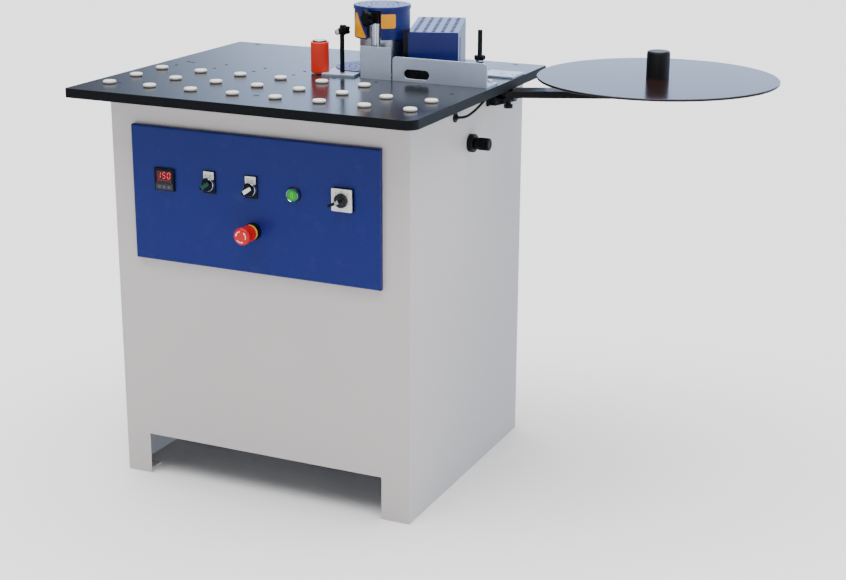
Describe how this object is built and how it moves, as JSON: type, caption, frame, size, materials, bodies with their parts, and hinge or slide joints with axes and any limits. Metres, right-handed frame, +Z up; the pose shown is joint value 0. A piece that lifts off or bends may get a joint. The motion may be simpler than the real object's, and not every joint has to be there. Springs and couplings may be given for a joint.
{
  "type": "edge banding machine",
  "caption": "Manual edge bander: steel cabinet with a glide-topped work table, heated glue pot, feed roller, fence, control panel and a swinging horizontal tape reel.",
  "frame": {"origin": "centre of the cabinet's footprint on the floor, which is the centre of the four anchor holes", "axes": "+X to the operator's right towards the tape reel, +Y to the back, +Z up"},
  "size_m": [1.338, 0.908, 1.0341],
  "materials": {
    "grey_paint": "satin powder coat",
    "blue_paint": "satin powder coat",
    "black_laminate": "satin laminate",
    "zinc_screw": "zinc plated",
    "white_plastic": "satin",
    "black_plastic": "satin",
    "grey_rubber_key": "matt",
    "selector_plastic": "gloss",
    "green_plastic": "gloss",
    "pale_plastic": "satin",
    "chrome_ring": "polished",
    "knob_black": "satin",
    "yellow_collar": "gloss",
    "steel": "ground",
    "red_plastic": "gloss",
    "black_rubber": "matt",
    "black_steel": "black satin",
    "reel_board": "film faced",
    "hub_plastic": "turned",
    "orange_rubber": "satin",
    "bronze": "machined",
    "brushed_plate": "brushed",
    "stainless": "polished",
    "motor_casting": "painted"
  },
  "bodies": {
    "machine": {"arm_bracket": "black_steel", "arm_pivot_bolt": "zinc_screw", "back_panel": "grey_paint", "cabinet_shell": "grey_paint", "cable_grommets": "black_rubber", "control_panel": "blue_paint", "cover_screws": "zinc_screw", "dosing_block": "black_plastic", "drive_belt": "black_rubber", "drive_motor": "motor_casting", "fence": "brushed_plate", "foot_plates": "grey_paint", "glides": "white_plastic", "glue_pot": "stainless", "guard_plate": "brushed_plate", "guide_rods": "black_steel", "heater_band": "stainless", "heater_cable": "black_rubber", "motor_cover": "blue_paint", "pot_cover": "blue_paint", "pot_lid": "blue_paint", "regulator_body": "black_plastic", "roller_base_plate": "brushed_plate", "roller_bushes": "bronze", "rotary_switch_base": "pale_plastic", "selector_bases": "selector_plastic", "side_rest_plate": "brushed_plate", "socket_screws": "zinc_screw", "start_button_bezel": "chrome_ring", "stop_button_base": "yellow_collar", "switchgear": "black_plastic", "table_screws": "zinc_screw", "table_top": "black_laminate", "tape_stop_block": "black_plastic", "temperature_controller": "black_plastic", "top_frame": "grey_paint", "vent_grille": "blue_paint"},
    "feed_roller": {"feed_roller": "orange_rubber", "feed_roller_shaft": "steel"},
    "glue_roller": {"glue_roller": "steel"},
    "motor_rotor": {"motor_pulley": "steel"},
    "reel_arm": {"reel_arm": "black_steel", "reel_spindle": "steel"},
    "reel": {"reel_disc": "reel_board", "reel_hub": "hub_plastic"},
    "selector_left": {"selector_lever_left": "green_plastic"},
    "selector_right": {"selector_lever_right": "pale_plastic"},
    "start_button": {"start_button_cap": "green_plastic"},
    "rotary_knob": {"rotary_switch_knob": "knob_black"},
    "stop_stem": {"stop_button_stem": "steel"},
    "stop_head": {"stop_button_head": "red_plastic"},
    "regulator_knob": {"regulator_knob": "knob_black"},
    "key_1": {"controller_key_1": "grey_rubber_key"},
    "key_2": {"controller_key_2": "grey_rubber_key"},
    "key_3": {"controller_key_3": "grey_rubber_key"},
    "post_clamp": {"post_clamp": "knob_black"},
    "post_knob": {"post_clamp_knob": "knob_black"},
    "tape_clamp": {"tape_guide_clamp": "black_steel"},
    "tape_knob": {"tape_guide_knob": "knob_black"},
    "dosing_knob": {"dosing_knob": "knob_black"}
  },
  "joints": [
    {"name": "feed_roller_spin", "type": "hinge", "parent": "machine", "child": "feed_roller", "pos_m": [-0.0096, 0.0024, 0.9], "axis": [0, 0, 1], "continuous": true},
    {"name": "glue_roller_spin", "type": "hinge", "parent": "machine", "child": "glue_roller", "pos_m": [0.125, 0.005, 0.9], "axis": [0, 0, 1], "continuous": true},
    {"name": "motor_spin", "type": "hinge", "parent": "machine", "child": "motor_rotor", "pos_m": [0.05, 0.15, 0.82], "axis": [0, 0, 1], "continuous": true},
    {"name": "arm_swing", "type": "hinge", "parent": "machine", "child": "reel_arm", "pos_m": [0.384, 0.1288, 0.847], "axis": [0, 0, 1], "range_deg": [-45, 3]},
    {"name": "reel_spin", "type": "hinge", "parent": "reel_arm", "child": "reel", "pos_m": [0.678, 0.256, 0.884], "axis": [0, 0, 1], "continuous": true},
    {"name": "selector_left_turn", "type": "hinge", "parent": "machine", "child": "selector_left", "pos_m": [-0.104, -0.314, 0.69], "axis": [0, -1, 0], "range_deg": [0, 90]},
    {"name": "selector_right_turn", "type": "hinge", "parent": "machine", "child": "selector_right", "pos_m": [-0.004, -0.314, 0.69], "axis": [0, -1, 0], "range_deg": [0, 90]},
    {"name": "start_button_press", "type": "slide", "parent": "machine", "child": "start_button", "axis": [0, 1, 0], "range_m": [0, 0.003], "stiffness_N_per_m": 400},
    {"name": "rotary_switch_turn", "type": "hinge", "parent": "machine", "child": "rotary_knob", "pos_m": [0.2085, -0.314, 0.69], "axis": [0, -1, 0], "range_deg": [0, 90]},
    {"name": "stop_button_press", "type": "slide", "parent": "machine", "child": "stop_stem", "axis": [0, 1, 0], "range_m": [0, 0.005]},
    {"name": "stop_button_twist", "type": "hinge", "parent": "stop_stem", "child": "stop_head", "pos_m": [-0.0015, -0.314, 0.6], "axis": [0, -1, 0], "range_deg": [-30, 0], "stiffness_Nm_per_rad": 0.2},
    {"name": "regulator_turn", "type": "hinge", "parent": "machine", "child": "regulator_knob", "pos_m": [0.37, -0.0016, 0.759], "axis": [1, 0, 0], "range_deg": [-720, 720]},
    {"name": "key_1_press", "type": "slide", "parent": "machine", "child": "key_1", "axis": [0, 1, 0], "range_m": [0, 0.0005], "stiffness_N_per_m": 300},
    {"name": "key_2_press", "type": "slide", "parent": "machine", "child": "key_2", "axis": [0, 1, 0], "range_m": [0, 0.0005], "stiffness_N_per_m": 300},
    {"name": "key_3_press", "type": "slide", "parent": "machine", "child": "key_3", "axis": [0, 1, 0], "range_m": [0, 0.0005], "stiffness_N_per_m": 300},
    {"name": "post_clamp_slide", "type": "slide", "parent": "machine", "child": "post_clamp", "axis": [0, 0, 1], "range_m": [-0.06, 0]},
    {"name": "post_knob_turn", "type": "hinge", "parent": "post_clamp", "child": "post_knob", "pos_m": [0.043, 0.0188, 0.975], "axis": [0, 1, 0], "range_deg": [-360, 360]},
    {"name": "tape_clamp_slide", "type": "slide", "parent": "machine", "child": "tape_clamp", "axis": [0, 0, 1], "range_m": [-0.03, 0.045]},
    {"name": "tape_knob_turn", "type": "hinge", "parent": "tape_clamp", "child": "tape_knob", "pos_m": [0.344, 0.06, 0.926], "axis": [0, 0, 1], "range_deg": [-360, 360]},
    {"name": "dosing_knob_turn", "type": "hinge", "parent": "machine", "child": "dosing_knob", "pos_m": [0.1162, -0.01024, 1.009], "axis": [-0.5, -0.866, 0], "range_deg": [-360, 360]}
  ],
  "couplings": [
    {"joint": "glue_roller_spin", "follows": "feed_roller_spin", "ratio": 2},
    {"joint": "motor_spin", "follows": "feed_roller_spin", "ratio": 2}
  ]
}
